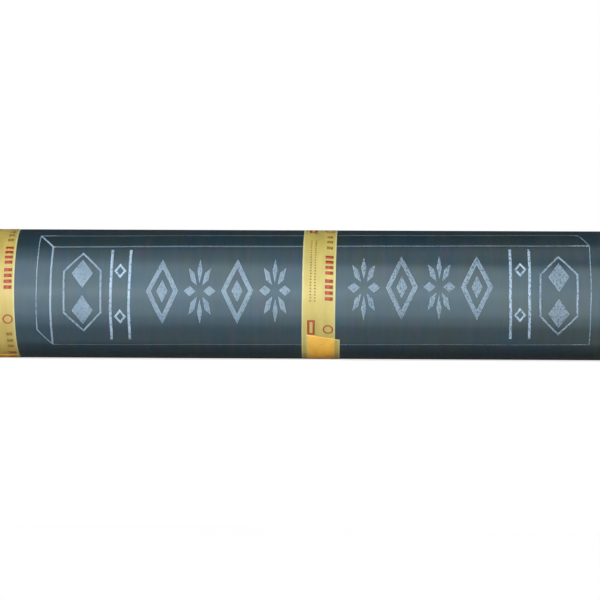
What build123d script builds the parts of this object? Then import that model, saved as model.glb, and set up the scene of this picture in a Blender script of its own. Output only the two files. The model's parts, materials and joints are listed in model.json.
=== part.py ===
from build123d import *
from math import acos, cos, degrees, pi, radians, sin
import os

# A roll of self-adhesive bitumen membrane on its side, held shut by three bands of adhesive tape.
# Millimetres. X runs along the roll, -Y is the front, +Z is up, and z = 0 is the floor under the tape.
# Angles round the roll are in degrees from the front, rising over the top.

# The sheet and how it is wound
SHEET_WIDTH = 1000.0
MEMBRANE_THICKNESS = 1.5
RELEASE_FILM_THICKNESS = 0.08
TURNS = 36
BORE_DIAMETER = 76.0

# The V between the edges of two turns, as it shows on the ends of the roll
TURN_GROOVE_WIDTH = 0.5
TURN_GROOVE_DEPTH = 0.6

# The free end of the outermost turn, high on the back. The sheet comes up to it from the floor, and the
# roll is thinner over the top and down the front. So its weight keeps the roll as it lies.
FREE_END_ANGLE = 142.0

# The tape: one turn of each band, and an overlap whose upper layer is laid a little to the side
TAPE_WIDTH = 48.0
TAPE_THICKNESS = 0.1
END_BAND_INSET = 28.6
MIDDLE_BAND_OFFSET = 12.8
BANDS = {
    # band: (angle where its upper layer ends, length of the overlap, sideways shift of the upper layer)
    "tape_band_left": (-70.0, 120.0, -1.5),
    "tape_band_middle": (-46.5, 140.0, 5.0),
    "tape_band_right": (-62.0, 130.0, 2.0),
}

# Worked out from the sizes above
TURN_PITCH = MEMBRANE_THICKNESS + RELEASE_FILM_THICKNESS
BORE_RADIUS = BORE_DIAMETER / 2
ROLL_RADIUS = BORE_RADIUS + TURNS * TURN_PITCH
HALF_WIDTH = SHEET_WIDTH / 2
SHEET_LENGTH = pi * (ROLL_RADIUS**2 - BORE_RADIUS**2) / TURN_PITCH
TRIM = TURN_PITCH
AXIS_HEIGHT = ROLL_RADIUS + 2 * TAPE_THICKNESS

# The thinner half of the outside is a half circle of its own. It meets the full one opposite the free end,
# and lies one membrane below it at the free end.
THIN_RADIUS = ROLL_RADIUS - MEMBRANE_THICKNESS / 2
THIN_CENTRE_OFFSET = MEMBRANE_THICKNESS / 2
# A taut band leaves the edge of the free end in a straight line, and touches the turn below this far on
TOUCH_DOWN = degrees(acos(THIN_RADIUS / (ROLL_RADIUS + THIN_CENTRE_OFFSET)))


def round_point(radius, angle):
    """The point of the section plane at this radius and angle about the roll's axis."""
    return Vector(0, -radius * cos(radians(angle)), radius * sin(radians(angle)))


def round_arc(radius, start, end):
    """The arc about the roll's axis from one angle to another, in degrees."""
    return ThreePointArc(
        round_point(radius, start),
        round_point(radius, (start + end) / 2),
        round_point(radius, end),
    )


def prism(face, low, high):
    """A face of the plane x = 0, made solid from x = low to x = high."""
    return Pos(low, 0, 0) * extrude(face, amount=high - low, dir=(1, 0, 0))


def end_edge(side):
    """The edges of all turns on one end, from the bore outwards, with a V between each two."""
    points = [(side * HALF_WIDTH, BORE_RADIUS)]
    for turn in range(1, TURNS):
        radius = BORE_RADIUS + turn * TURN_PITCH
        points.append((side * HALF_WIDTH, radius - TURN_GROOVE_WIDTH / 2))
        points.append((side * (HALF_WIDTH - TURN_GROOVE_DEPTH), radius))
        points.append((side * HALF_WIDTH, radius + TURN_GROOVE_WIDTH / 2))
    points.append((side * HALF_WIDTH, ROLL_RADIUS + TRIM))
    return points


def turned_blank():
    """The wound sheet, turned with its bore, its turns on both ends, and spare stock outside."""
    outline = end_edge(-1) + end_edge(1)[::-1]
    half_section = make_face(Polyline([(x, 0, r) for x, r in outline], close=True))
    return revolve(half_section, axis=Axis.X)


def thin_point(angle):
    """The point of the thinner half circle at this angle about its own centre."""
    return round_point(THIN_CENTRE_OFFSET, FREE_END_ANGLE + 180) + round_point(THIN_RADIUS, angle)


def outer_outline(meeting_angle):
    """The section of the outside: two half circles, and a line from the free end down to the turn below."""
    opposite = FREE_END_ANGLE - 180
    return make_face(
        [
            round_arc(ROLL_RADIUS, opposite - 180, opposite),
            ThreePointArc(
                thin_point(opposite),
                thin_point((opposite + meeting_angle) / 2),
                thin_point(meeting_angle),
            ),
            Line(thin_point(meeting_angle), round_point(ROLL_RADIUS, FREE_END_ANGLE)),
        ]
    )


def membrane_roll():
    """The wound sheet: turned ends and bore, and the outside with the step of the sheet's free end."""
    outside = prism(outer_outline(FREE_END_ANGLE), -HALF_WIDTH - TRIM, HALF_WIDTH + TRIM)
    return turned_blank() & outside


def sector(start, end):
    """A wedge of the section plane between two angles, larger than the roll."""
    reach = 2 * ROLL_RADIUS
    corners = [round_point(reach, angle) for angle in (start, (start + end) / 2, end)]
    return make_face(Polyline([Vector(0, 0, 0), *corners], close=True))


def tape_band(middle, upper_end, overlap, shift):
    """One taut turn of tape about x = middle, and the upper layer of its overlap."""
    low, high = middle - TAPE_WIDTH / 2, middle + TAPE_WIDTH / 2
    inner = outer_outline(FREE_END_ANGLE - TOUCH_DOWN)
    turn = offset(inner, TAPE_THICKNESS) - inner
    upper_start = upper_end - degrees(overlap / ROLL_RADIUS)
    upper_layer = (offset(inner, 2 * TAPE_THICKNESS) - inner) & sector(upper_start, upper_end)
    return prism(turn, low, high) + prism(upper_layer, low + shift, high + shift)


def write(name, shape):
    """One part file, with the roll's axis raised to its height over the floor."""
    export_step(Pos(0, 0, AXIS_HEIGHT) * shape, f"parts/{name}.step")


end_band_middle = HALF_WIDTH - END_BAND_INSET - TAPE_WIDTH / 2
band_middles = {
    "tape_band_left": -end_band_middle,
    "tape_band_middle": MIDDLE_BAND_OFFSET,
    "tape_band_right": end_band_middle,
}

os.makedirs("parts", exist_ok=True)
write("membrane_roll", membrane_roll())
for band, (upper_end, overlap, shift) in BANDS.items():
    write(band, tape_band(band_middles[band], upper_end, overlap, shift))
print(f"roll {2 * ROLL_RADIUS:.1f} mm across, sheet {SHEET_LENGTH / 1000:.2f} m long")
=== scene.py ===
import json
import math

import bmesh
import bpy
from bpy.props import FloatProperty, FloatVectorProperty, IntProperty, PointerProperty
from mathutils import Matrix, Vector, noise


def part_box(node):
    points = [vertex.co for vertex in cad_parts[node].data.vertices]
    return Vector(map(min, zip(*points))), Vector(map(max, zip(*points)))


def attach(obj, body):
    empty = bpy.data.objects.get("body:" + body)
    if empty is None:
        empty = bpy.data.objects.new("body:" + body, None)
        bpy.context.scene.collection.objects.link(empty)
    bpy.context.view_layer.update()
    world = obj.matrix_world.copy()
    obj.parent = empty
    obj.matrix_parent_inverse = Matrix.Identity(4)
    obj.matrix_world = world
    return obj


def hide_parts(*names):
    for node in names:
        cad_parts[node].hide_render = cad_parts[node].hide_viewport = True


bl_info = {
    "name": "Membrane roll",
    "version": (1, 0, 0),
    "blender": (4, 5, 0),
    "location": "3D View > Sidebar > Membrane roll",
    "description": "Dresses the packed model of a taped roll of bitumen membrane",
    "category": "Object",
}

# Metres. X runs along the roll, -Y is its printed front, and the floor is z = 0.
# Angles go round the roll from the front, rising over the top.
# Printed shapes are drawn flat, with x along the roll and y up round it from the front, and then wrapped.

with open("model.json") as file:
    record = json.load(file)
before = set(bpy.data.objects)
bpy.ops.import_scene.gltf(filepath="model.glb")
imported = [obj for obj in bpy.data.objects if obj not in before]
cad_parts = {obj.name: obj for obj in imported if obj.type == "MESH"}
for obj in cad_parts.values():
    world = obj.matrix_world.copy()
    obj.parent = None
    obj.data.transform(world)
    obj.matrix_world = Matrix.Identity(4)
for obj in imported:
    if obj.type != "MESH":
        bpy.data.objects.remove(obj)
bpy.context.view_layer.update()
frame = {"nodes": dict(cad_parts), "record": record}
BORE = next(mount for mount in frame["record"]["mounts"] if mount["name"] == "bore")
AXIS_HEIGHT = BORE["pos_m"][2]
BORE_RADIUS = BORE["dims"]["r_mm"] / 1000
SHEET_LOW, SHEET_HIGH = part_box("membrane_roll")
ROLL_RADIUS = max(
    math.hypot(vertex.co.y, vertex.co.z - AXIS_HEIGHT)
    for vertex in frame["nodes"]["membrane_roll"].data.vertices
)
FULL_TURN = math.tau
BANDS = ("left", "middle", "right")


# Properties of the settings


def length_property(name, description, metres):
    """A length in metres."""
    return FloatProperty(
        name=name, description=description, default=metres, unit="LENGTH", precision=6
    )


def angle_property(name, description, degrees):
    """An angle, with its default in degrees."""
    return FloatProperty(
        name=name,
        description=description,
        default=math.radians(degrees),
        subtype="ANGLE",
        unit="ROTATION",
    )


def colour_property(name, description, colour):
    """A linear colour."""
    return FloatVectorProperty(
        name=name, description=description, default=colour, subtype="COLOR", min=0, max=1
    )


class SheetSettings(bpy.types.PropertyGroup):
    """The wound sheet of membrane."""

    free_end_angle: angle_property(
        "Free end angle", "Where the outermost turn ends, high on the back", 142
    )
    thickness: length_property(
        "Membrane thickness", "Thickness of the sheet without its release film", 0.0015
    )
    pitch: length_property(
        "Turn pitch", "How much one turn adds to the radius, release film included", 0.00158
    )
    row_length: length_property("Row length", "Length of one row of faces along the sheet", 0.006)
    edge_rounding: length_property("Edge rounding", "Rounding of the slit edges of the sheet", 0.0003)
    out_of_round: length_property(
        "Out of round", "Depth of the long shallow flats along the roll", 0.00018
    )
    edge_wander: length_property(
        "Edge wander", "How far a turn may stand out sideways from its neighbours", 0.0020
    )
    end_lift: length_property(
        "End lift", "How far the free end springs up between two bands of tape", 0.0022
    )
    film_blue: colour_property("Film, bluer", "Face film where it looks bluer", (0.009, 0.033, 0.052))
    film_grey: colour_property("Film, greyer", "Face film where it looks greyer", (0.022, 0.036, 0.034))
    film_violet: colour_property(
        "Film, more violet", "Face film where it looks more violet", (0.031, 0.029, 0.056)
    )
    film_gloss_tint: colour_property(
        "Film gloss tint", "Colour that the film gives to what it mirrors", (0.67, 0.845, 0.965)
    )
    bitumen: colour_property("Bitumen", "The compound, as it shows on the edges", (0.030, 0.030, 0.031))
    release_film: colour_property(
        "Release film", "The film under the sheet, as it shows in the bore", (0.055, 0.06, 0.065)
    )


class PrintSettings(bpy.types.PropertyGroup):
    """The pale print on the face film."""

    line_width: length_property("Line width", "Width of the ruled lines", 0.0027)
    bar_width: length_property("Bar width", "Width of the divider bars", 0.0038)
    stroke_width: length_property("Stroke width", "Width of the strokes of the ornaments", 0.0064)
    rim_width: length_property(
        "Rim width", "Width of the rim that the ink forms round a stroke", 0.0011
    )
    skew: FloatProperty(
        name="Skew",
        description="How far the print climbs round the roll for each metre along it",
        default=0.0085,
        precision=4,
    )
    height: length_property("Print height", "How far the print stands over the film", 0.00006)
    wobble: length_property("Wobble", "How far a printed line strays from its ruled place", 0.0009)
    ink: colour_property("Ink", "The pale print", (0.43, 0.59, 0.76))


class TapeSettings(bpy.types.PropertyGroup):
    """The bands of adhesive tape."""

    width: length_property("Tape width", "Width of the tape", 0.048)
    thickness: length_property("Tape thickness", "Thickness of one layer", 0.0001)
    row_length: length_property("Row length", "Length of one row of faces along the tape", 0.003)
    teeth: IntProperty(
        name="Teeth", description="Teeth of the cutter across the tape", default=24, min=1
    )
    tooth_depth: length_property("Tooth depth", "Depth of the zigzag at the cut end", 0.0011)
    wrinkle: length_property("Wrinkle height", "Height of the small creases", 0.00010)
    mark_pitch: length_property(
        "Mark pitch", "How far apart along the tape its printed marks repeat", 0.180
    )
    mark_height: length_property("Mark height", "How far the marks stand over the tape", 0.00005)
    yellow: colour_property("Yellow", "One layer of tape on the dark film", (0.545, 0.455, 0.115))
    amber: colour_property("Amber", "One layer of the browner tape on the left", (0.54, 0.42, 0.105))
    # Two layers of tape are orange. This orange is also painted lighter than two layers are: painted
    # light on the overlaps, which lie low on the roll in weak light.
    orange: colour_property("Orange", "Two layers of tape", (0.98, 0.575, 0.085))
    margin: colour_property(
        "Margin", "The paler strip along both edges of the tape", (0.60, 0.61, 0.29)
    )
    red: colour_property("Red", "The bold marks on the tape", (0.36, 0.045, 0.010))
    ochre: colour_property("Ochre", "The fine marks on the tape", (0.33, 0.19, 0.040))


class StageSettings(bpy.types.PropertyGroup):
    """Camera, lamps and floor."""

    camera_distance: length_property("Camera distance", "From the roll's axis", 4.1)
    camera_azimuth: angle_property("Camera azimuth", "To the right of the front", 1.5)
    camera_elevation: angle_property("Camera elevation", "Above the horizon", 1.5)
    camera_roll: angle_property("Camera roll", "Turn about the line of sight", 0.22)
    lens: FloatProperty(name="Lens", description="Focal length, in millimetres", default=167.9)
    front_radiance: FloatProperty(
        name="Front lamp", description="Brightness of the low lamp in front", default=5.2
    )
    high_radiance: FloatProperty(
        name="High lamp", description="Brightness of the lamp high in front", default=1.5
    )
    back_radiance: FloatProperty(
        name="Back lamp", description="Brightness of the lamp behind", default=2.6
    )
    side_radiance: FloatProperty(
        name="Side lamps", description="Brightness of the lamp at each end", default=3.0
    )
    gloss_radiance: FloatProperty(
        name="Gloss cards", description="Brightness of the cards that only add gloss", default=3.0
    )
    room_light: FloatProperty(
        name="Room light", description="Strength of the even light from all sides", default=0.05
    )
    floor_lift: FloatProperty(
        name="Floor lift", description="How much of the floor's white is its own", default=0.72
    )


# Mesh helpers


def on_roll(x, angle, radius):
    """The point at this place along the roll, at this angle round it and distance from its axis."""
    return Vector((x, -radius * math.cos(angle), AXIS_HEIGHT + radius * math.sin(angle)))


def smooth_step(value):
    """0 below 0, 1 above 1, and a soft change between."""
    value = min(max(value, 0.0), 1.0)
    return value * value * (3 - 2 * value)


def layers_down(turn):
    """How many turns lie over the sheet, this many turns in from its free end.

    The first half of each turn keeps its radius, and the second half drops by one layer."""
    whole = math.floor(turn)
    part = turn - whole
    if part <= 0.5:
        return whole
    return whole + (1 + math.cos(FULL_TURN * (1 - part))) / 2


FLATS = (
    # flats in one turn, where they begin, share of their depth
    (5, 0.4, 1.0),
    (9, 2.1, 0.7),
    (16, 5.0, 0.35),
    (27, 1.3, 0.15),
)


def turn_radius(sheet, angle, layers):
    """The radius of a turn at an angle, under this many layers. The flats fade towards the bore."""
    radius = ROLL_RADIUS - sheet.pitch * layers
    depth = sum(share * (1 - math.cos(count * angle + start)) / 2 for count, start, share in FLATS)
    return radius - sheet.out_of_round * depth * (radius - BORE_RADIUS) / (ROLL_RADIUS - BORE_RADIUS)


def outside_radius(sheet, angle):
    """The radius of the roll's outside at an angle."""
    turn = ((angle - sheet.free_end_angle) / FULL_TURN) % 1.0
    return turn_radius(sheet, angle, layers_down(turn))


def name_uv(bm, place):
    """A UV map named flat, in metres, from a function of a vertex."""
    layer = bm.loops.layers.uv.new("flat")
    for face in bm.faces:
        for loop in face.loops:
            loop[layer].uv = place(loop.vert)


def make_piece(name, bm, materials):
    """The mesh as a smooth piece of the roll, with its materials."""
    mesh = bpy.data.meshes.new(name)
    bm.to_mesh(mesh)
    bm.free()
    mesh.shade_smooth()
    for material in materials:
        mesh.materials.append(material)
    piece = bpy.data.objects.new(name, mesh)
    bpy.context.scene.collection.objects.link(piece)
    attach(piece, "root")
    return piece


def thicken(piece, thickness, back_slot=0, rim_slot=0):
    """Gives a surface its thickness, inwards."""
    solid = piece.modifiers.new("thickness", "SOLIDIFY")
    solid.thickness = thickness
    solid.offset = -1
    solid.material_offset = back_slot
    solid.material_offset_rim = rim_slot


# Flat shapes, for what is printed


def add_bar(bm, centre, length, width, angle=0.0):
    """A flat rectangle, its length along x before it is turned. Returns its face."""
    made = bmesh.ops.create_grid(bm, x_segments=1, y_segments=1, size=0.5)["verts"]
    bmesh.ops.scale(bm, vec=(length, width, 1.0), verts=made)
    bmesh.ops.rotate(bm, matrix=Matrix.Rotation(angle, 3, "Z"), verts=made)
    bmesh.ops.translate(bm, vec=(*centre, 0.0), verts=made)
    return made[0].link_faces[:]


def add_oval(bm, centre, size, corners=48):
    """A flat oval of this width and height, or a lozenge or hexagon of few corners. Returns its face."""
    made = bmesh.ops.create_circle(bm, cap_ends=True, segments=corners, radius=0.5)["verts"]
    bmesh.ops.scale(bm, vec=(*size, 1.0), verts=made)
    bmesh.ops.translate(bm, vec=(*centre, 0.0), verts=made)
    return made[0].link_faces[:]


STAR_RAYS = 8
# For a star that is 1 high: the width and height of a ray, and how far out its middle is
STAR_RAY = (0.155, 0.38)
STAR_RAY_REACH = 0.31


def add_star(bm, centre, size):
    """A star of narrow lozenges that don't touch, of this width and height."""
    star = []
    for index in range(STAR_RAYS):
        made = bmesh.ops.create_circle(bm, cap_ends=True, segments=4, radius=0.5)["verts"]
        bmesh.ops.scale(bm, vec=(*STAR_RAY, 1.0), verts=made)
        bmesh.ops.translate(bm, vec=(0.0, STAR_RAY_REACH, 0.0), verts=made)
        turn = Matrix.Rotation(FULL_TURN * index / STAR_RAYS, 3, "Z")
        bmesh.ops.rotate(bm, matrix=turn, verts=made)
        star += made
    bmesh.ops.scale(bm, vec=(*size, 1.0), verts=star)
    bmesh.ops.translate(bm, vec=(*centre, 0.0), verts=star)


def hollow(bm, faces, stroke):
    """Leaves only a stroke of even width inside the outline of each face."""
    bmesh.ops.inset_individual(bm, faces=faces, thickness=stroke, use_even_offset=True)
    bmesh.ops.delete(bm, geom=faces, context="FACES")


WELD_DISTANCE = 0.00003


def cut_grid(bm, step_x, step_y):
    """Cuts flat shapes along a grid, so that they can bend, and welds the slivers shut."""
    for axis, step in ((0, step_x), (1, step_y)):
        places = [vertex.co[axis] for vertex in bm.verts]
        normal = Vector((0, 0, 0))
        normal[axis] = 1
        for index in range(math.ceil(min(places) / step), math.floor(max(places) / step) + 1):
            geometry = bm.verts[:] + bm.edges[:] + bm.faces[:]
            bmesh.ops.bisect_plane(bm, geom=geometry, plane_co=normal * index * step, plane_no=normal)
    bmesh.ops.remove_doubles(bm, verts=bm.verts[:], dist=WELD_DISTANCE)


# Material helpers


class NodeMaker:
    """Short ways to add nodes to a node tree."""

    def __init__(self, tree):
        self.nodes, self.links = tree.nodes, tree.links

    def add(self, kind, inputs=None, **settings):
        """A node with its settings, and its inputs set to values or linked to sockets."""
        node = self.nodes.new(kind)
        for name, value in settings.items():
            setattr(node, name, value)
        for name, value in (inputs or {}).items():
            if isinstance(value, bpy.types.NodeSocket):
                self.links.new(value, node.inputs[name])
            else:
                node.inputs[name].default_value = value
        return node

    def math(self, operation, *values):
        """The result of a math node."""
        return self.add("ShaderNodeMath", dict(enumerate(values)), operation=operation).outputs[0]

    def between(self, factor, low, high, from_low=0.3, from_high=0.7):
        """A factor mapped from one range to another, held inside it. Noise mostly fills 0.3 to 0.7."""
        inputs = {0: factor, 1: from_low, 2: from_high, 3: low, 4: high}
        return self.add("ShaderNodeMapRange", inputs).outputs[0]


class Shader(NodeMaker):
    """A new material with a principled shader."""

    def __init__(self, name):
        self.material = bpy.data.materials.new(name)
        self.material.use_nodes = True
        super().__init__(self.material.node_tree)
        self.principled = next(n for n in self.nodes if n.type == "BSDF_PRINCIPLED")

    def set(self, **values):
        """Sets or links inputs of the principled shader, named with _ for a space."""
        for name, value in values.items():
            socket = self.principled.inputs[name.replace("_", " ")]
            if isinstance(value, bpy.types.NodeSocket):
                self.links.new(value, socket)
            else:
                socket.default_value = value

    def flat_place(self):
        """Where a point is on the piece's flat map, in metres: across x and along y."""
        uv = self.add("ShaderNodeUVMap", uv_map="flat").outputs["UV"]
        parts = self.add("ShaderNodeSeparateXYZ", {0: uv}).outputs
        return parts[0], parts[1]

    def attribute(self, name):
        """A number that the piece's vertices carry."""
        return self.add("ShaderNodeAttribute", attribute_name=name).outputs["Fac"]

    def flat_noise(self, scale_x, scale_y, detail=3.0, roughness=0.5):
        """Noise on the piece's flat map, with as many features per metre as the scales say."""
        uv = self.add("ShaderNodeUVMap", uv_map="flat").outputs["UV"]
        scaled = self.add(
            "ShaderNodeVectorMath", {0: uv, 1: (scale_x, scale_y, 1.0)}, operation="MULTIPLY"
        ).outputs[0]
        inputs = {"Vector": scaled, "Scale": 1.0, "Detail": detail, "Roughness": roughness}
        return self.add("ShaderNodeTexNoise", inputs).outputs["Fac"]

    def solid_noise(self, scale):
        """Noise on object coordinates, with scale features per metre."""
        place = self.add("ShaderNodeTexCoord").outputs["Object"]
        inputs = {"Vector": place, "Scale": scale, "Detail": 3.0}
        return self.add("ShaderNodeTexNoise", inputs).outputs["Fac"]

    def mix(self, factor, first, second):
        """Two colours mixed."""
        colours = [c if isinstance(c, bpy.types.NodeSocket) else (*c, 1.0) for c in (first, second)]
        inputs = {0: factor, 6: colours[0], 7: colours[1]}
        return self.add("ShaderNodeMix", inputs, data_type="RGBA").outputs[2]

    def shade(self, colour, factor):
        """A colour made lighter or darker by a factor."""
        if not isinstance(colour, bpy.types.NodeSocket):
            node = self.add("ShaderNodeRGB")
            node.outputs[0].default_value = (*colour, 1.0)
            colour = node.outputs[0]
        inputs = {0: colour, "Scale": factor}
        return self.add("ShaderNodeVectorMath", inputs, operation="SCALE").outputs[0]

    def bump(self, height, distance, strength, below=None):
        """A bump from a height, over another one if it is given."""
        inputs = {"Height": height, "Distance": distance, "Strength": strength}
        if below is not None:
            inputs["Normal"] = below
        return self.add("ShaderNodeBump", inputs).outputs[0]


# Materials of the membrane


def film_colour(shader, sheet):
    """The face film's colour: bluer, greyer and violet streaks round the roll, and pale specks.

    It gets greyer to the right."""
    along, _ = shader.flat_place()
    streaks = shader.math("ADD", shader.flat_noise(75, 16, 3.0), shader.flat_noise(9, 14, 2.0))
    greyer = shader.math("ADD", streaks, shader.math("MULTIPLY", along, 0.16))
    base = shader.mix(shader.between(greyer, 0.0, 1.0, 0.75, 1.25), sheet.film_blue, sheet.film_grey)
    violet = shader.between(shader.flat_noise(60, 24, 2.0, 0.4), 0.0, 0.8, 0.55, 0.75)
    base = shader.mix(violet, base, sheet.film_violet)
    clouds = shader.between(shader.flat_noise(110, 16, 2.0), 0.86, 1.14)
    marks = shader.between(shader.flat_noise(330, 30, 3.0, 0.6), 0.92, 1.09)
    specks = shader.between(shader.flat_noise(700, 500, 1.0), 1.0, 2.4, 0.74, 0.80)
    return shader.shade(base, shader.math("MULTIPLY", clouds, shader.math("MULTIPLY", marks, specks)))


def film_bump(shader):
    """The film's relief: shallow bands along the roll, short marks round it, and a fine grain."""
    bands = shader.bump(shader.flat_noise(1.5, 48, 2.0), 0.00015, 0.6)
    marks = shader.bump(shader.flat_noise(110, 18, 2.0), 0.00010, 0.22, bands)
    return shader.bump(shader.flat_noise(1300, 1300, 2.0), 0.00002, 0.4, marks)


def film_material(sheet):
    """The satin face film."""
    shader = Shader("face_film")
    shader.set(
        Base_Color=film_colour(shader, sheet),
        Roughness=shader.between(shader.flat_noise(240, 12, 2.0), 0.295, 0.335),
        Specular_IOR_Level=0.65,
        Specular_Tint=(*sheet.film_gloss_tint, 1.0),
        Normal=film_bump(shader),
    )
    return shader.material


def release_film_material(sheet):
    """The smooth release film on the underside, which lines the bore."""
    shader = Shader("release_film")
    shader.set(
        Base_Color=shader.shade(sheet.release_film, shader.between(shader.solid_noise(40), 0.8, 1.2)),
        Roughness=0.3,
        Normal=shader.bump(shader.solid_noise(90), 0.0004, 0.5),
    )
    return shader.material


def bitumen_material(sheet):
    """The black compound on the slit edges. The knife left each turn a little duller or shinier."""
    shader = Shader("bitumen_edge")
    turns = shader.between(shader.flat_noise(0.0, 1.3, 4.0, 0.7), 0.35, 2.6)
    smears = shader.between(shader.solid_noise(300), 0.7, 1.4)
    shader.set(
        Base_Color=shader.shade(sheet.bitumen, shader.math("MULTIPLY", turns, smears)),
        Roughness=shader.between(shader.flat_noise(0.0, 2.1, 3.0), 0.36, 0.75),
        Normal=shader.bump(shader.solid_noise(1500), 0.0002, 0.6),
    )
    return shader.material


def ink_material(sheet, settings):
    """Pale ink with pits, more of them towards the right end, through which the film shows."""
    shader = Shader("pale_print")
    along, _ = shader.flat_place()
    wear = shader.between(along, 0.36, 0.40, -0.06, 0.14)
    pits = shader.between(
        shader.math("SUBTRACT", shader.flat_noise(420, 260, 4.0, 0.65), wear), 0.15, 1.0, 0.0, 0.10
    )
    thin = shader.between(shader.flat_noise(55, 35, 3.0), 0.72, 1.0)
    cover = shader.math("MULTIPLY", shader.attribute("ink"), shader.math("MULTIPLY", pits, thin))
    shader.set(
        Base_Color=shader.mix(cover, film_colour(shader, sheet), settings.ink),
        Roughness=0.42,
        Specular_IOR_Level=0.6,
        Specular_Tint=(*sheet.film_gloss_tint, 1.0),
        Normal=film_bump(shader),
    )
    return shader.material


# The wound sheet


OUTER_TURNS = 1.02


def sheet_rows(sheet):
    """The rows of the flat sheet as pairs of length and turns, from the free end to the bore.

    On the outermost turn, which shows, they are half as long."""
    rows = [(0.0, 0.0), (sheet.thickness, sheet.thickness / (FULL_TURN * ROLL_RADIUS))]
    while True:
        length, turn = rows[-1]
        radius = ROLL_RADIUS - sheet.pitch * layers_down(turn)
        if radius - sheet.thickness <= BORE_RADIUS:
            return rows
        step = sheet.row_length if turn > OUTER_TURNS else sheet.row_length / 2
        rows.append((length + step, turn + step / (FULL_TURN * radius)))


def flat_sheet(sheet, rows):
    """The flat sheet as a grid, x along the roll and y the number of the row."""
    edge = 2 * sheet.thickness
    columns = (SHEET_LOW.x, SHEET_LOW.x + edge, SHEET_HIGH.x - edge, SHEET_HIGH.x)
    last_column, last_row = len(columns) - 1, len(rows) - 1
    bm = bmesh.new()
    bmesh.ops.create_grid(bm, x_segments=last_column, y_segments=last_row, size=0.5)
    for vertex in bm.verts:
        vertex.co.x = columns[round((vertex.co.x + 0.5) * last_column)]
        vertex.co.y = round((vertex.co.y + 0.5) * last_row)
    return bm


# How far from the free end the sheet springs up, and how far from the tape it does so fully
LIFT_REACH = 0.055
LIFT_SPAN = 0.14
LIFT_COLUMNS = 60


def add_lift_columns(bm, rows):
    """Finer columns near the free end, where the sheet springs up between the bands."""
    last = sum(length <= LIFT_REACH for length, _ in rows)
    wide = []
    for edge in bm.edges:
        first, second = (vertex.co for vertex in edge.verts)
        if max(first.y, second.y) <= last and abs(first.x - second.x) > SHEET_HIGH.x:
            wide.append(edge)
    bmesh.ops.subdivide_edges(bm, edges=wide, cuts=LIFT_COLUMNS - 1, use_grid_fill=True)


def band_clearance(x):
    """How far a place along the roll is from the nearest band of tape."""
    gaps = []
    for band in BANDS:
        low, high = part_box(f"tape_band_{band}")
        gaps.append(max(low.x - x, x - high.x, 0.0))
    return min(gaps)


def end_lift(sheet, x, length):
    """How far the sheet springs up, near its free end and away from the tape."""
    if length >= LIFT_REACH:
        return 0.0
    along = (1 - length / LIFT_REACH) ** 2
    across = smooth_step(band_clearance(x) / LIFT_SPAN)
    unevenness = 0.5 * noise.noise(Vector((7 * x, 0, 0)))
    return sheet.end_lift * along * across * (1 + unevenness)


WANDERS = (
    # waves in one turn, place in the noise, share of the wander
    (0.17, 3.0, 0.4),
    (0.9, 6.0, 0.6),
)


def side_wander(sheet, turn):
    """How far the sheet stands out sideways at a turn: a slow drift and a jump from turn to turn."""
    return sheet.edge_wander * sum(
        share * noise.noise(Vector((waves * turn, place, 0.0))) for waves, place, share in WANDERS
    )


def make_wound_sheet(sheet):
    """The sheet, made flat at its full length and rolled up."""
    rows = sheet_rows(sheet)
    bm = flat_sheet(sheet, rows)
    add_lift_columns(bm, rows)
    name_uv(bm, lambda vertex: (vertex.co.x, rows[round(vertex.co.y)][0]))
    for vertex in bm.verts:
        x = vertex.co.x
        length, turn = rows[round(vertex.co.y)]
        angle = sheet.free_end_angle + FULL_TURN * turn
        radius = turn_radius(sheet, angle, layers_down(turn)) + end_lift(sheet, x, length)
        vertex.co = on_roll(x + side_wander(sheet, turn), angle, radius)
    materials = [film_material(sheet), release_film_material(sheet), bitumen_material(sheet)]
    piece = make_piece("wound_sheet", bm, materials)
    thicken(piece, sheet.thickness, back_slot=1, rim_slot=2)
    rounding = piece.modifiers.new("rounding", "BEVEL")
    rounding.width = sheet.edge_rounding
    rounding.segments = 2
    rounding.limit_method = "ANGLE"
    rounding.angle_limit = math.radians(60)
    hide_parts("membrane_roll")


# The print on the face film

# The cells that flat shapes are cut into, and the waves per metre in which a line strays
PRINT_CELL = (0.012, 0.004)
STRAY_WAVES = (9, 24)
# How thick the ink is, for each part of its height that stands over the film
PRINT_DEPTH = 2
RIM_INK = 0.8
STROKE_INK = 0.45


def stray(x, y, draw):
    """How a printed line strays at a point, from -1 to 1. Another draw strays another way."""
    return noise.noise(Vector((STRAY_WAVES[0] * x, STRAY_WAVES[1] * y, draw)))


def print_on_roll(name, bm, context, ink_at):
    """Wraps flat shapes on the outside of the roll, as thin ink. ink_at gives a vertex its ink."""
    sheet, settings = context.scene.membrane_sheet, context.scene.membrane_print
    cut_grid(bm, *PRINT_CELL)
    ink = bm.verts.layers.float.new("ink")
    for vertex in bm.verts:
        vertex[ink] = ink_at(vertex)
    name_uv(bm, lambda vertex: vertex.co.xy)
    for vertex in bm.verts:
        x, y = vertex.co.xy
        x += settings.wobble * stray(x, y, 1.7)
        y += settings.skew * x + settings.wobble * stray(x, y, 9.3)
        angle = y / ROLL_RADIUS
        vertex.co = on_roll(x, angle, outside_radius(sheet, angle) + settings.height)
    material = bpy.data.materials.get("pale_print") or ink_material(sheet, settings)
    piece = make_piece(name, bm, [material])
    thicken(piece, PRINT_DEPTH * settings.height)


def print_strokes(name, bm, context):
    """Prints broad strokes, whose ink is full at their rims and thinner inside."""
    bmesh.ops.inset_region(
        bm,
        faces=bm.faces[:],
        thickness=context.scene.membrane_print.rim_width,
        use_boundary=True,
        use_even_offset=True,
    )
    print_on_roll(name, bm, context, lambda vertex: RIM_INK if vertex.is_boundary else STROKE_INK)


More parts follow.
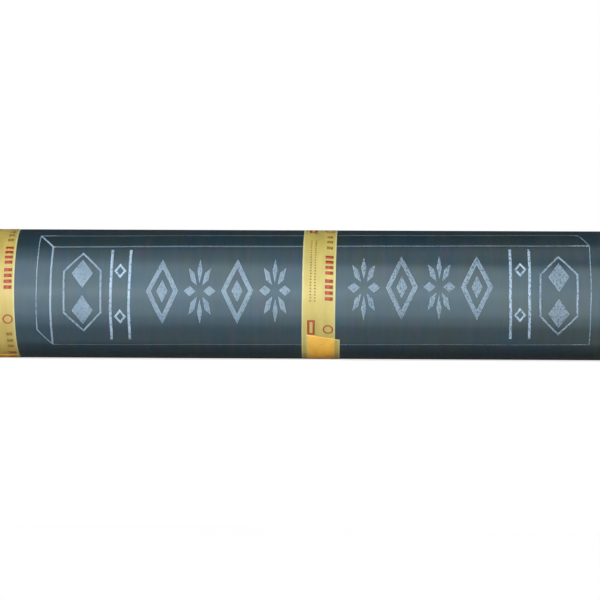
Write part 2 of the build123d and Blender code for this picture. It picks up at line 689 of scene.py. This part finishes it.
BOX_CORNERS = {
    "front_low_left": (-0.3719, -0.0810),
    "front_low_right": (0.4030, -0.0828),
    "front_high_right": (0.4030, 0.0806),
    "front_high_left": (-0.3702, 0.0806),
    "back_high_right": (0.3865, 0.1113),
    "back_high_left": (-0.3912, 0.1085),
    "back_low_left": (-0.3928, -0.0510),
}
BOX_SIDES = (
    ("front_low_left", "front_low_right", "front_high_right", "front_high_left"),
    ("front_high_left", "front_high_right", "back_high_right", "back_high_left"),
    ("back_low_left", "front_low_left", "front_high_left", "back_high_left"),
)
# The places where the left and right ends of the box begin
LEFT_END = -0.365
RIGHT_END = 0.384
LONG_LINE_INK = 0.30
LEFT_END_INK = 0.75
RIGHT_END_INK = 0.7


def box_ink(vertex):
    """The ink of the ruled box: its long lines are faint, and its ends stronger."""
    if vertex.co.x < LEFT_END:
        return LEFT_END_INK
    if vertex.co.x > RIGHT_END:
        return RIGHT_END_INK
    return LONG_LINE_INK


def make_printed_box(context):
    """A ruled box, drawn as its front, top and left side, which share their edges."""
    bm = bmesh.new()
    corners = {name: bm.verts.new((*place, 0.0)) for name, place in BOX_CORNERS.items()}
    for names in BOX_SIDES:
        bm.faces.new([corners[name] for name in names])
    half = context.scene.membrane_print.line_width / 2
    faces = bm.faces[:]
    bmesh.ops.inset_region(
        bm, faces=faces, thickness=half, use_outset=True, use_boundary=True, use_even_offset=True
    )
    hollow(bm, faces, half)
    print_on_roll("printed_box", bm, context, box_ink)


DIVIDER_PAIRS = (
    # places of the two bars along the roll, lean to the right
    (-0.2849, -0.2585, 0.015),
    (0.2880, 0.3151, -0.007),
)
DIVIDER_RISE = 0.002
DIVIDER_LENGTH = 0.143
BEAD_RISES = (0.0375, -0.0300)
BEAD_SIZE = (0.0175, 0.0230)
BEAD_STROKE = 0.0030
DIVIDER_INK = 1.0


def make_printed_dividers(context):
    """Two pairs of upright bars, with two hollow lozenges between the bars of a pair."""
    bm = bmesh.new()
    width = context.scene.membrane_print.bar_width
    for left, right, lean in DIVIDER_PAIRS:
        for x in (left, right):
            add_bar(bm, (x, DIVIDER_RISE), width, DIVIDER_LENGTH, -lean)
        for rise in BEAD_RISES:
            faces = add_oval(bm, ((left + right) / 2, rise), BEAD_SIZE, corners=4)
            hollow(bm, faces, BEAD_STROKE)
    print_on_roll("printed_dividers", bm, context, lambda vertex: DIVIDER_INK)


ORNAMENT_ROWS = {
    # name: (middle of the first ornament, height of the row, whether it begins with a star)
    "printed_row_left": (-0.211, 0.007, False),
    "printed_row_right": (0.078, 0.0115, True),
}
ORNAMENT_PITCH = 0.054
ORNAMENT_SIZE = (0.046, 0.097)
ORNAMENTS_IN_ROW = 4
INNER_SHARE = 0.34


def make_printed_row(name, context):
    """Four ornaments in a row: stars, and lozenges with a smaller lozenge inside."""
    first, rise, star_first = ORNAMENT_ROWS[name]
    bm = bmesh.new()
    for index in range(ORNAMENTS_IN_ROW):
        centre = (first + index * ORNAMENT_PITCH, rise)
        if (index % 2 == 0) == star_first:
            add_star(bm, centre, ORNAMENT_SIZE)
        else:
            outer = add_oval(bm, centre, ORNAMENT_SIZE, corners=4)
            hollow(bm, outer, context.scene.membrane_print.stroke_width)
            add_oval(bm, centre, [INNER_SHARE * size for size in ORNAMENT_SIZE], corners=4)
    print_strokes(name, bm, context)


SEAL_PLACES = ((-0.3257, 0.0068), (0.3567, -0.0013))
SEAL_SIZE = (0.0640, 0.1240)
SEAL_STROKE = 0.0028
SEAL_LOZENGE = (0.0300, 0.0440)
SEAL_LOZENGE_RISE = 0.0270
SEAL_INK = 0.65


def make_printed_seals(context):
    """A tall hexagon with two filled lozenges, one over the other, near each end of the box."""
    hexagons, lozenges = bmesh.new(), bmesh.new()
    for centre in SEAL_PLACES:
        hollow(hexagons, add_oval(hexagons, centre, SEAL_SIZE, corners=6), SEAL_STROKE)
        for rise in (-SEAL_LOZENGE_RISE, SEAL_LOZENGE_RISE):
            add_oval(lozenges, (centre[0], centre[1] + rise), SEAL_LOZENGE, corners=4)
    print_on_roll("printed_seal_hexagons", hexagons, context, lambda vertex: SEAL_INK)
    print_strokes("printed_seal_lozenges", lozenges, context)


# The bands of tape


TAPE_LAPS = {
    # band: (angle where its upper layer ends, length of the overlap, sideways shift in one lap, slant)
    "left": (math.radians(-70), 0.120, -0.0015, 0.002),
    "middle": (math.radians(-39.8), 0.140, 0.0068, -0.0100),
    "right": (math.radians(-62), 0.130, 0.002, 0.003),
}
# How far a band stands clear of the edge of the free end, and how far past it
EDGE_CLEARANCE = 0.00015
CLEARANCE_REACH = 0.010
# How far a band takes to climb on its own start, and to turn orange inwards of its edge
CLIMB_LENGTH = 0.003
ORANGE_EDGE = 0.001
# Creases: their waves per metre across and along the tape, how narrow they are, how far from the
# middle they begin, in widths of the tape, and the waves per metre of the patches that have them
CREASE_WAVES = (70, 55)
CREASE_SHARPNESS = 9
CREASE_START = 0.2
PATCH_WAVES = (9, 5)
PATCH_SHARPNESS = 3


def taut_radius(sheet, angle):
    """The radius under a taut band: the roll's outside, with a straight span down from the free end."""
    corner = sheet.free_end_angle
    touch_down = math.acos((ROLL_RADIUS - sheet.pitch) / (ROLL_RADIUS + EDGE_CLEARANCE))
    outside = outside_radius(sheet, angle)
    if (corner - angle) % FULL_TURN >= touch_down:
        past_corner = ROLL_RADIUS * ((angle - corner) % FULL_TURN)
        return outside + EDGE_CLEARANCE * smooth_step(1 - past_corner / CLEARANCE_REACH)
    middle = on_roll(0, 0, 0)
    start = on_roll(0, corner, turn_radius(sheet, corner, 0) + EDGE_CLEARANCE) - middle
    landing = corner - touch_down
    span = on_roll(0, landing, outside_radius(sheet, landing)) - middle - start
    ray = on_roll(0, angle, 1.0) - middle
    return max(start.cross(span).x / ray.cross(span).x, outside)


class TapeBand:
    """Where a band of tape runs: once round the roll, and then over its own start."""

    def __init__(self, band, context):
        self.sheet, self.settings = context.scene.membrane_sheet, context.scene.membrane_tape
        self.upper_end, self.overlap, self.shift, self.slant = TAPE_LAPS[band]
        self.node = f"tape_band_{band}"
        self.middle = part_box(self.node)[0].x + self.settings.width / 2 - min(self.shift, 0.0)
        self.lap = FULL_TURN * ROLL_RADIUS
        self.length = self.lap + self.overlap
        self.front = self.overlap - ROLL_RADIUS * self.upper_end

    def crease(self, across, along):
        """The height of a few small creases that start at an edge of the tape."""
        place = (CREASE_WAVES[0] * across, CREASE_WAVES[1] * along, 4.2)
        ridge = max(0.0, 1 - CREASE_SHARPNESS * abs(noise.noise(Vector(place))))
        edge = (abs(across) / self.settings.width - CREASE_START) / (0.5 - CREASE_START)
        place = (PATCH_WAVES[0] * along, PATCH_WAVES[1] * across, 8.8 + self.middle)
        patch = PATCH_SHARPNESS * noise.noise(Vector(place))
        return self.settings.wrinkle * ridge * smooth_step(edge) * smooth_step(patch)

    def point(self, across, along, lift=0.0):
        """The point of the tape's upper face at a place across and along it, lifted a little."""
        slanted = along + self.slant * (along / self.length) * across / self.settings.width
        angle = self.upper_end + (slanted - self.length) / ROLL_RADIUS
        second = smooth_step((along - self.lap) / CLIMB_LENGTH + 1)
        radius = taut_radius(self.sheet, angle) + self.settings.thickness * (1 + second)
        x = self.middle + across + self.shift * (1 + (along - self.length) / self.lap)
        return on_roll(x, angle, radius + self.crease(across, along) + lift)

    def doubled(self, across, along):
        """1 where the tape lies on its own start, and 0 elsewhere."""
        below = across + self.shift
        inside = smooth_step((self.settings.width / 2 - abs(below)) / ORANGE_EDGE)
        return smooth_step((along - self.lap) / CLIMB_LENGTH) * inside


def make_tape(band, context):
    """A strip of tape with its cut end."""
    run = TapeBand(band, context)
    settings = run.settings
    rows = round(run.length / settings.row_length)
    columns = 2 * settings.teeth
    bm = bmesh.new()
    bmesh.ops.create_grid(bm, x_segments=columns, y_segments=rows, size=0.5)
    for vertex in bm.verts:
        column = round((vertex.co.x + 0.5) * columns)
        row = round((vertex.co.y + 0.5) * rows)
        tooth = settings.tooth_depth * (column % 2) if row == rows else 0.0
        vertex.co.x = (column / columns - 0.5) * settings.width
        vertex.co.y = row / rows * run.length + tooth
    name_uv(bm, lambda vertex: vertex.co.xy)
    doubled = bm.verts.layers.float.new("doubled")
    for vertex in bm.verts:
        across, along = vertex.co.xy
        vertex[doubled] = run.doubled(across, along)
        vertex.co = run.point(across, along)
    colour = settings.amber if band == "left" else settings.yellow
    piece = make_piece(f"tape_{band}", bm, [tape_material(band, colour, settings)])
    thicken(piece, settings.thickness)
    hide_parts(run.node)


# Places and sizes of the marks, across the tape and along it from the front of the roll
MARK_PHASES = {"left": 0.014, "middle": 0.0, "right": -0.050}
LADDERS = ((0.0145, 0.0470), (0.0145, 0.0090))
LADDER_RUNGS = 4
RUNG = (0.0115, 0.0052)
RUNG_PITCH = 0.0086
BLOCK = (-0.0105, -0.0490)
BLOCK_SIZE = (0.0110, 0.0250)
BLOCK_STROKE = 0.0033
RING = (0.0138, -0.0510)
RING_SIZE = (0.0150, 0.0150)
RING_STROKE = 0.0021
FINE_ROWS = (-0.0120, -0.0057)
FINE_START = -0.008
FINE_DASHES = 24
FINE_DASH = (0.0024, 0.0020)
FINE_PITCH = 0.0044
SMALL_SQUARES = (0.0780, 0.0910, 0.1040)
SMALL_SQUARE = (0.0085, 0.0062)
# How thick the marks are, for each part of their height that stands over the tape
MARK_DEPTH = 1.5


def add_red_marks(bm):
    """Two ladders of bold rungs, a block with a slot, and a ring, for one repeat of the marks."""
    for across, along in LADDERS:
        for rung in range(LADDER_RUNGS):
            place = along + (rung - (LADDER_RUNGS - 1) / 2) * RUNG_PITCH
            add_bar(bm, (across, place), *RUNG)
    hollow(bm, add_bar(bm, BLOCK, *BLOCK_SIZE), BLOCK_STROKE)
    hollow(bm, add_oval(bm, RING, RING_SIZE, corners=24), RING_STROKE)


def add_ochre_marks(bm):
    """Two rows of fine dashes, and three small squares, for one repeat of the marks."""
    for across in FINE_ROWS:
        for dash in range(FINE_DASHES):
            add_bar(bm, (across, FINE_START + dash * FINE_PITCH), *FINE_DASH)
    for along in SMALL_SQUARES:
        add_bar(bm, (LADDERS[0][0], along), *SMALL_SQUARE)


def repeat_along(bm, start, pitch, low, high):
    """Repeats flat shapes along y, so that one copy is at the start, and keeps what is in range."""
    original = bm.faces[:]
    for repeat in range(math.floor((low - start) / pitch), math.ceil((high - start) / pitch)):
        made = bmesh.ops.duplicate(bm, geom=original)["geom"]
        verts = [item for item in made if isinstance(item, bmesh.types.BMVert)]
        bmesh.ops.translate(bm, vec=(0.0, start + repeat * pitch, 0.0), verts=verts)
    bmesh.ops.delete(bm, geom=original, context="FACES")
    beyond = [vertex for vertex in bm.verts if not low < vertex.co.y < high]
    bmesh.ops.delete(bm, geom=beyond, context="VERTS")


def make_tape_marks(band, context):
    """The plain marks printed along a band, repeated for as long as the tape is."""
    run = TapeBand(band, context)
    settings = run.settings
    end_gap = 2 * settings.row_length
    for colour, add_marks in (("red", add_red_marks), ("ochre", add_ochre_marks)):
        bm = bmesh.new()
        add_marks(bm)
        cut_grid(bm, settings.width, settings.row_length)
        start = run.front + MARK_PHASES[band]
        repeat_along(bm, start, settings.mark_pitch, end_gap, run.length - end_gap)
        name_uv(bm, lambda vertex: vertex.co.xy)
        for vertex in bm.verts:
            vertex.co = run.point(*vertex.co.xy, lift=settings.mark_height)
        name = f"{colour}_tape_ink"
        material = bpy.data.materials.get(name) or mark_material(name, getattr(settings, colour))
        piece = make_piece(f"tape_{band}_{colour}_marks", bm, [material])
        thicken(piece, MARK_DEPTH * settings.mark_height)


def tape_bump(shader):
    """The tape's relief: soft creases and a fine ripple."""
    creases = shader.bump(shader.flat_noise(60, 25, 3.0), 0.0004, 0.5)
    return shader.bump(shader.flat_noise(900, 900, 2.0), 0.00004, 0.4, creases)


def tape_material(band, colour, settings):
    """Glossy tape: orange where it is doubled, and painted lighter there as painted light, uneven in
    tone, and paler along both edges.
    """
    shader = Shader(f"{band}_tape")
    across, _ = shader.flat_place()
    tone = shader.between(shader.flat_noise(70, 18, 4.0), 0.86, 1.1)
    # Where the tape is doubled, its orange is painted lighter as painted light, because the overlaps lie
    # low on the roll in weak light.
    base = shader.shade(shader.mix(shader.attribute("doubled"), colour, settings.orange), tone)
    from_edge = shader.math("SUBTRACT", settings.width / 2, shader.math("ABSOLUTE", across))
    margin = shader.between(from_edge, 0.85, 0.0, 0.0014, 0.0028)
    shader.set(
        Base_Color=shader.mix(margin, base, settings.margin),
        Roughness=shader.between(shader.flat_noise(120, 60), 0.26, 0.40),
        Normal=tape_bump(shader),
    )
    return shader.material


def mark_material(name, colour):
    """The ink of the marks on the tape, blotted a little."""
    shader = Shader(name)
    blots = shader.between(shader.flat_noise(500, 400, 3.0), 0.7, 1.35)
    shader.set(Base_Color=shader.shade(colour, blots), Roughness=0.35, Normal=tape_bump(shader))
    return shader.material


# The stage

# Distances from the roll between which the floor turns white, to the gloss and to the eye
GLOSS_FADE = (0.7, 1.6)
FLOOR_FADE = (0.8, 2.4)
# Heights between which the white backdrop fades out, as parts of a direction of length 1
BACKDROP_FADE = (0.02, 0.06)
FLOOR_REACH = 30.0


def floor_material(settings):
    """Pale near the roll, where it keeps the shadow, and white far from it."""
    shader = Shader("pale_floor")
    rays = shader.add("ShaderNodeLightPath").outputs
    mirrored = shader.math("MAXIMUM", rays["Is Glossy Ray"], rays["Is Transmission Ray"])
    seen = shader.math("MAXIMUM", rays["Is Camera Ray"], mirrored)
    place = shader.add("ShaderNodeTexCoord").outputs["Object"]
    away = shader.add("ShaderNodeVectorMath", {0: place}, operation="LENGTH").outputs["Value"]
    lit_gloss = shader.math("MULTIPLY", mirrored, shader.between(away, 0.0, 1.0, *GLOSS_FADE))
    lit = shader.math("MAXIMUM", rays["Is Camera Ray"], lit_gloss)
    shader.set(
        Base_Color=(0.70, 0.70, 0.70, 1.0),
        Roughness=0.9,
        Specular_IOR_Level=0.0,
        Emission_Color=(1.0, 1.0, 1.0, 1.0),
        Emission_Strength=shader.math("MULTIPLY", lit, settings.floor_lift),
    )
    far = shader.math("MULTIPLY", seen, shader.between(away, 0.0, 1.0, *FLOOR_FADE))
    white = shader.add("ShaderNodeEmission", {"Color": (1.0, 1.0, 1.0, 1.0), "Strength": 1.0})
    blend = shader.add(
        "ShaderNodeMixShader", {0: far, 1: shader.principled.outputs[0], 2: white.outputs[0]}
    )
    output = next(n for n in shader.nodes if n.type == "OUTPUT_MATERIAL")
    shader.links.new(blend.outputs[0], output.inputs["Surface"])
    return shader.material


def make_floor(settings):
    """A large level floor."""
    bm = bmesh.new()
    bmesh.ops.create_grid(bm, x_segments=8, y_segments=8, size=FLOOR_REACH)
    mesh = bpy.data.meshes.new("floor")
    bm.to_mesh(mesh)
    bm.free()
    mesh.materials.append(floor_material(settings))
    floor = bpy.data.objects.new("floor", mesh)
    bpy.context.scene.collection.objects.link(floor)


def make_world(room_light):
    """White to the eye. Gloss shows it white near the horizon and dim overhead, as in a studio."""
    world = bpy.data.worlds.new("room")
    world.use_nodes = True
    maker = NodeMaker(world.node_tree)
    maker.nodes.clear()
    rays = maker.add("ShaderNodeLightPath").outputs
    direction = maker.add("ShaderNodeTexCoord").outputs["Generated"]
    height = maker.add("ShaderNodeSeparateXYZ", {0: direction}).outputs[2]
    backdrop = maker.between(maker.math("ABSOLUTE", height), 1.0, 0.0, *BACKDROP_FADE)
    seen = maker.math("MAXIMUM", rays["Is Camera Ray"], rays["Is Transmission Ray"])
    mirrored = maker.math("MULTIPLY", rays["Is Glossy Ray"], backdrop)
    white_share = maker.math("MAXIMUM", seen, mirrored)
    whitened = maker.math("MULTIPLY", white_share, 1.0 - room_light)
    strength = maker.math("ADD", whitened, room_light)
    inputs = {"Color": (1.0, 1.0, 1.0, 1.0), "Strength": strength}
    background = maker.add("ShaderNodeBackground", inputs).outputs[0]
    maker.add("ShaderNodeOutputWorld", {"Surface": background})
    bpy.context.scene.world = world


def make_lamp(name, place, aim, size, radiance):
    """A large soft lamp that isn't seen itself, turned towards a point."""
    data = bpy.data.lights.new(name, "AREA")
    data.shape = "RECTANGLE"
    data.size, data.size_y = size
    data.energy = radiance * math.pi * size[0] * size[1]
    lamp = bpy.data.objects.new(name, data)
    lamp.location = place
    lamp.rotation_mode = "QUATERNION"
    lamp.rotation_quaternion = (Vector(aim) - lamp.location).to_track_quat("-Z", "Y")
    lamp.visible_camera = False
    bpy.context.scene.collection.objects.link(lamp)
    return lamp


def make_lamps(settings):
    """Lamps in front, above, behind and at each end, and cards that only the gloss mirrors."""
    middle = (0.0, 0.0, AXIS_HEIGHT)
    for name, place, size, radiance in (
        # name, place, width and height, brightness
        ("front_lamp", (-0.25, -2.2, 0.42), (2.8, 0.84), settings.front_radiance),
        ("high_lamp", (0.0, -1.0, 1.75), (3.0, 1.2), settings.high_radiance),
        ("back_lamp", (0.0, 2.2, 0.70), (2.8, 1.2), settings.back_radiance),
    ):
        make_lamp(name, place, middle, size, radiance).visible_glossy = False
    for name, place, aim, size, share in (
        # name, place, what it faces, width and height, share of the cards' brightness
        ("top_card", (0.1, -0.4, 1.7), middle, (3.0, 0.8), 0.34),
        ("high_card", (-0.5, -1.383, 0.907), middle, (3.0, 1.78), 1.0),
        ("low_card", (-0.7, -2.6, 0.25), middle, (3.0, 0.5), 0.80),
        ("floor_card", (-0.3, -0.8625, 0.004), (-0.3, -0.8625, 1.0), (2.6, 1.395), 0.85),
        ("middle_card", (0.0, -0.14, 0.004), (0.0, -0.14, 1.0), (2.6, 0.05), 0.45),
        ("near_card", (0.0, -0.0875, 0.004), (0.0, -0.0875, 1.0), (2.6, 0.055), 0.14),
        ("back_card", (0.0, 2.4, 0.25), middle, (2.8, 0.44), 0.3),
        ("back_floor_card", (0.0, 0.87, 0.004), (0.0, 0.87, 1.0), (2.6, 1.38), 0.85),
    ):
        make_lamp(name, place, aim, size, share * settings.gloss_radiance).visible_diffuse = False
    for name, side in (("left_lamp", -1), ("right_lamp", 1)):
        make_lamp(name, (side * 2.3, -0.4, 0.8), middle, (1.2, 1.2), settings.side_radiance)


# Where the camera looks: a little to the left of the roll's middle, and a little under its axis
AIM_X = -0.0156
AIM_DROP = 0.0088
SENSOR_WIDTH = 36.0


def make_camera(settings):
    """The camera in front of the roll, a little to the right, as the photograph has it."""
    data = bpy.data.cameras.new("camera")
    data.sensor_width = SENSOR_WIDTH
    data.lens = settings.lens
    camera = bpy.data.objects.new("camera", data)
    bpy.context.scene.collection.objects.link(camera)
    azimuth, elevation = settings.camera_azimuth, settings.camera_elevation
    back = Vector(
        (
            math.sin(azimuth) * math.cos(elevation),
            -math.cos(azimuth) * math.cos(elevation),
            math.sin(elevation),
        )
    )
    target = Vector((AIM_X, 0.0, AXIS_HEIGHT - AIM_DROP))
    camera.location = target + settings.camera_distance * back
    camera.rotation_mode = "QUATERNION"
    roll = Matrix.Rotation(settings.camera_roll, 4, "Z").to_quaternion()
    camera.rotation_quaternion = (-back).to_track_quat("-Z", "Y") @ roll
    bpy.context.scene.camera = camera


# Operators


class ROLL_OT_wound_sheet(bpy.types.Operator):
    """Makes the wound sheet of membrane"""

    bl_idname = "membrane_roll.wound_sheet"
    bl_label = "Wound sheet"

    def execute(self, context):
        make_wound_sheet(context.scene.membrane_sheet)
        return {"FINISHED"}


class ROLL_OT_print(bpy.types.Operator):
    """Makes the pale print on the face film"""

    bl_idname = "membrane_roll.face_print"
    bl_label = "Face print"

    def execute(self, context):
        make_printed_box(context)
        make_printed_dividers(context)
        for name in ORNAMENT_ROWS:
            make_printed_row(name, context)
        make_printed_seals(context)
        return {"FINISHED"}


class ROLL_OT_tape(bpy.types.Operator):
    """Makes the three bands of tape and their marks"""

    bl_idname = "membrane_roll.tape"
    bl_label = "Tape bands"

    def execute(self, context):
        for band in BANDS:
            make_tape(band, context)
            make_tape_marks(band, context)
        return {"FINISHED"}


class ROLL_OT_stage(bpy.types.Operator):
    """Makes the floor, the lamps and the camera"""

    bl_idname = "membrane_roll.stage"
    bl_label = "Stage"

    def execute(self, context):
        settings = context.scene.membrane_stage
        make_floor(settings)
        make_world(settings.room_light)
        make_lamps(settings)
        make_camera(settings)
        context.scene.view_settings.view_transform = "Standard"
        return {"FINISHED"}


class ROLL_PT_panel(bpy.types.Panel):
    """Lists the pieces of the roll and their sizes and colours"""

    bl_idname = "ROLL_PT_panel"
    bl_label = "Membrane roll"
    bl_space_type = "VIEW_3D"
    bl_region_type = "UI"
    bl_category = "Membrane roll"

    def draw(self, context):
        for operator, pointer, group in PANEL_ROWS:
            box = self.layout.box()
            box.operator(operator.bl_idname)
            settings = getattr(context.scene, pointer)
            for name in group.__annotations__:
                box.prop(settings, name)


SETTINGS = {
    "membrane_sheet": SheetSettings,
    "membrane_print": PrintSettings,
    "membrane_tape": TapeSettings,
    "membrane_stage": StageSettings,
}
OPERATORS = (ROLL_OT_wound_sheet, ROLL_OT_print, ROLL_OT_tape, ROLL_OT_stage)
PANEL_ROWS = [(operator, *row) for operator, row in zip(OPERATORS, SETTINGS.items())]


def register():
    """Adds the settings, operators and panel."""
    for pointer, group in SETTINGS.items():
        bpy.utils.register_class(group)
        setattr(bpy.types.Scene, pointer, PointerProperty(type=group))
    for operator in OPERATORS:
        bpy.utils.register_class(operator)
    bpy.utils.register_class(ROLL_PT_panel)


def unregister():
    """Removes the panel, operators and settings."""
    bpy.utils.unregister_class(ROLL_PT_panel)
    for operator in reversed(OPERATORS):
        bpy.utils.unregister_class(operator)
    for pointer, group in reversed(SETTINGS.items()):
        delattr(bpy.types.Scene, pointer)
        bpy.utils.unregister_class(group)


def main():
    """Makes the whole roll and its stage."""
    register()
    bpy.ops.membrane_roll.wound_sheet()
    bpy.ops.membrane_roll.face_print()
    bpy.ops.membrane_roll.tape()
    bpy.ops.membrane_roll.stage()


if __name__ == "__main__":
    main()
